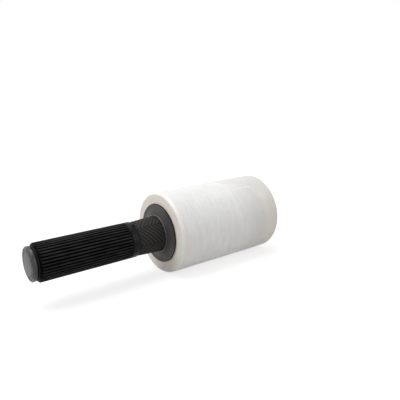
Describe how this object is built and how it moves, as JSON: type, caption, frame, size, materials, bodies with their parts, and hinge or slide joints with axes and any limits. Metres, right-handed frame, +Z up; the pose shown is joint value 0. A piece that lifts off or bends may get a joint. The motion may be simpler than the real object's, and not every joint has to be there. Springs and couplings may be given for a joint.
{
  "type": "stretch wrap roll",
  "caption": "Roll of clear-white stretch film on a cardboard core with a ribbed plastic handle that turns freely, used to wrap bundles and pallets by hand.",
  "frame": {"origin": "middle of the length and breadth of the lying roll, on the surface that it lies on", "axes": "+X along the roll's axis from the handle towards the film's open end, +Z up, +Y away from the side with the film's tail"},
  "size_m": [0.2526, 0.0803, 0.0801],
  "materials": {
    "film": "soft white translucent film, wound tight, faint streaks round it",
    "core": "brown spiral-wound cardboard",
    "hub": "satin dark grey moulded plastic",
    "spindle": "black moulded plastic",
    "neck": "very dark grey moulded plastic with slanted ribs",
    "grip_hard": "smooth black plastic",
    "grip_soft": "matt black ribbed sleeve",
    "washer": "black plastic",
    "cap": "satin mid grey plastic"
  },
  "bodies": {
    "roll": {"film_roll": "film", "cardboard_core": "core", "hub_flange": "hub", "spindle": "spindle", "neck_sleeve": "neck", "thrust_washer": "washer", "end_cap": "cap"},
    "grip": {"grip_core": "grip_hard", "grip_sleeve": "grip_soft"}
  },
  "joints": [
    {"name": "grip_spin", "type": "hinge", "parent": "roll", "child": "grip", "pos_m": [-0.0749, 0, 0.0398], "axis": [1, 0, 0], "continuous": true}
  ]
}
